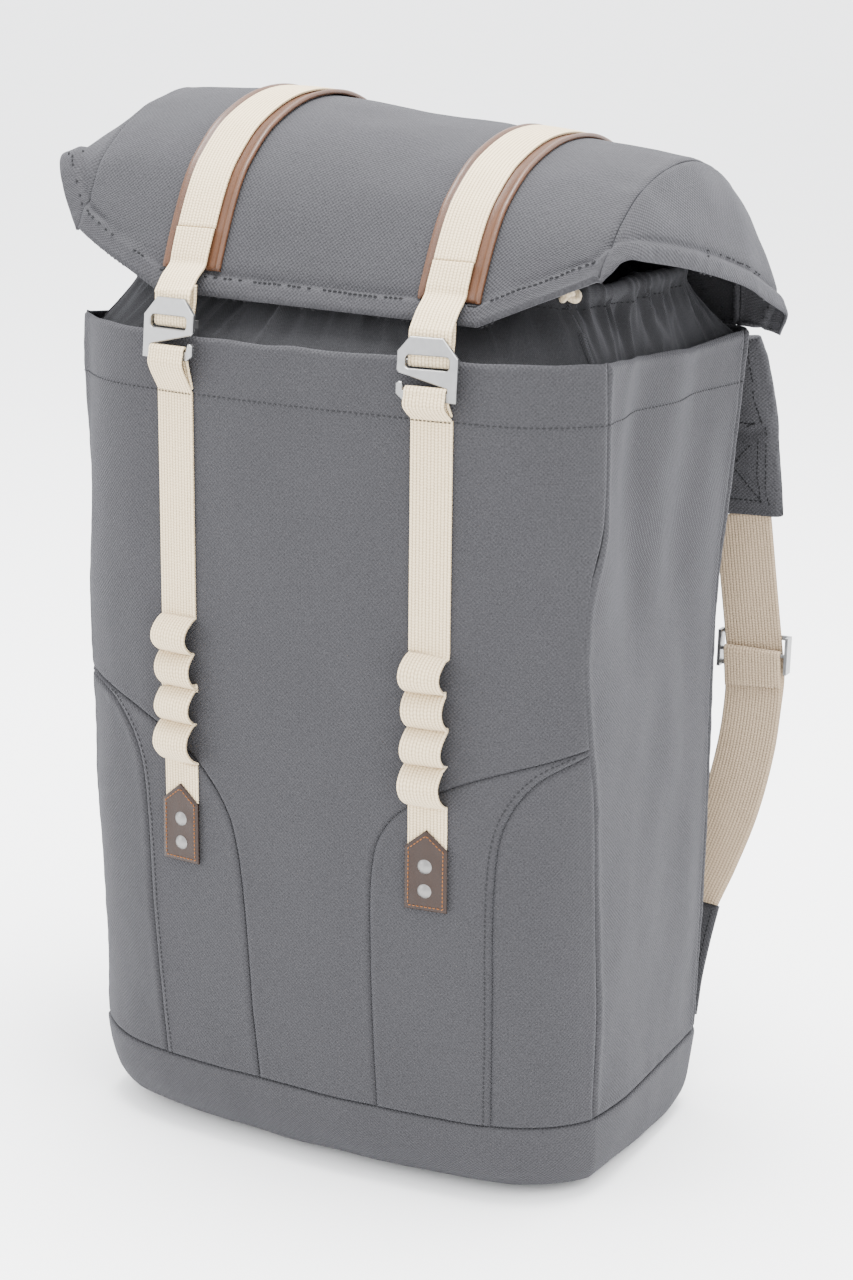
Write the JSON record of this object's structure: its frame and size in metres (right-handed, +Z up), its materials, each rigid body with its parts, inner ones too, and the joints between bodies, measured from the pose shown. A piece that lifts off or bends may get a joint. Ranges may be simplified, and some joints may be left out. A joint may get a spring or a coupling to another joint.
{
  "type": "travel backpack",
  "caption": "Tall canvas travel backpack with a drawcord mouth under a hinged lid, hook straps in front, gear loops and padded shoulder straps.",
  "frame": {"origin": "centre of the flat base, on the surface that the bag stands on", "axes": "+Z up, front faces -Y, +X to the viewer's right when facing the front"},
  "size_m": [0.4006, 0.2977, 0.638],
  "materials": {
    "grey_canvas": "woven cotton canvas",
    "lining_canvas": "woven cotton canvas, inner side",
    "cream_webbing": "ribbed cotton webbing",
    "cotton_cord": "braided cotton",
    "tan_leather": "rolled edges, semi-gloss",
    "brown_leather": "fine grain, satin",
    "satin_metal": "satin",
    "rivet_metal": "satin",
    "foam": "closed-cell foam",
    "stiffener": "matte board"
  },
  "bodies": {
    "bag": {"front_panel": "grey_canvas", "front_left_band": "grey_canvas", "front_right_band": "grey_canvas", "front_left_corner": "grey_canvas", "front_right_corner": "grey_canvas", "left_side_panel": "grey_canvas", "right_side_panel": "grey_canvas", "back_panel": "grey_canvas", "back_foam": "foam", "back_lining": "lining_canvas", "mouth_hem": "lining_canvas", "front_base_band": "grey_canvas", "back_base_band": "grey_canvas", "left_base_band": "grey_canvas", "right_base_band": "grey_canvas", "base_panel": "grey_canvas", "base_board": "stiffener", "front_collar": "lining_canvas", "back_collar": "lining_canvas", "left_collar": "lining_canvas", "right_collar": "lining_canvas", "drawcord": "cotton_cord", "drawcord_knot": "cotton_cord", "haul_loop_ends": "grey_canvas", "left_front_strap": "cream_webbing", "left_gear_loops": "cream_webbing", "left_patch": "brown_leather", "left_rivets": "rivet_metal", "left_hook_loop": "cream_webbing", "left_strap_anchor": "grey_canvas", "left_bottom_tab": "grey_canvas", "right_front_strap": "cream_webbing", "right_gear_loops": "cream_webbing", "right_patch": "brown_leather", "right_rivets": "rivet_metal", "right_hook_loop": "cream_webbing", "right_strap_anchor": "grey_canvas", "right_bottom_tab": "grey_canvas"},
    "lid": {"lid_panel": "grey_canvas", "left_lid_gusset": "grey_canvas", "left_lid_leather": "tan_leather", "left_lid_strap": "cream_webbing", "right_lid_gusset": "grey_canvas", "right_lid_leather": "tan_leather", "right_lid_strap": "cream_webbing"},
    "left_strap": {"left_strap_end": "cream_webbing", "left_hook": "satin_metal"},
    "left_shoulder": {"left_shoulder_pad": "grey_canvas", "left_shoulder_webbing": "cream_webbing", "left_return_webbing": "cream_webbing"},
    "left_adjuster": {"left_slider": "satin_metal"},
    "right_strap": {"right_strap_end": "cream_webbing", "right_hook": "satin_metal"},
    "right_shoulder": {"right_shoulder_pad": "grey_canvas", "right_shoulder_webbing": "cream_webbing", "right_return_webbing": "cream_webbing"},
    "right_adjuster": {"right_slider": "satin_metal"},
    "grab_loop": {"haul_loop": "grey_canvas"}
  },
  "joints": [
    {"name": "lid_hinge", "type": "hinge", "parent": "bag", "child": "lid", "pos_m": [0, 0.104, 0.5], "axis": [-1, 0, 0], "range_deg": [0, 95], "deforming": ["left_hook_loop", "right_hook_loop"]},
    {"name": "left_strap_swing", "type": "hinge", "parent": "lid", "child": "left_strap", "pos_m": [-0.082, -0.1284, 0.5486], "axis": [-1, 0, 0], "range_deg": [0, 80]},
    {"name": "right_strap_swing", "type": "hinge", "parent": "lid", "child": "right_strap", "pos_m": [0.082, -0.1284, 0.5426], "axis": [-1, 0, 0], "range_deg": [0, 80]},
    {"name": "left_shoulder_swing", "type": "hinge", "parent": "bag", "child": "left_shoulder", "pos_m": [-0.146, 0.107, 0.489], "axis": [0.0165, -0.0028, 0.9999], "range_deg": [-10, 15]},
    {"name": "left_adjuster_slide", "type": "slide", "parent": "left_shoulder", "child": "left_adjuster", "axis": [0.1497, 0, 0.9887], "range_m": [0, 0.04], "deforming": ["left_return_webbing"]},
    {"name": "right_shoulder_swing", "type": "hinge", "parent": "bag", "child": "right_shoulder", "pos_m": [0.146, 0.107, 0.489], "axis": [0.0165, 0.0028, -0.9999], "range_deg": [-10, 15]},
    {"name": "right_adjuster_slide", "type": "slide", "parent": "right_shoulder", "child": "right_adjuster", "axis": [-0.1497, 0, 0.9887], "range_m": [0, 0.04], "deforming": ["right_return_webbing"]},
    {"name": "grab_loop_flip", "type": "hinge", "parent": "bag", "child": "grab_loop", "pos_m": [0, 0.107, 0.474], "axis": [-1, 0, 0], "range_deg": [-25, 18]}
  ]
}
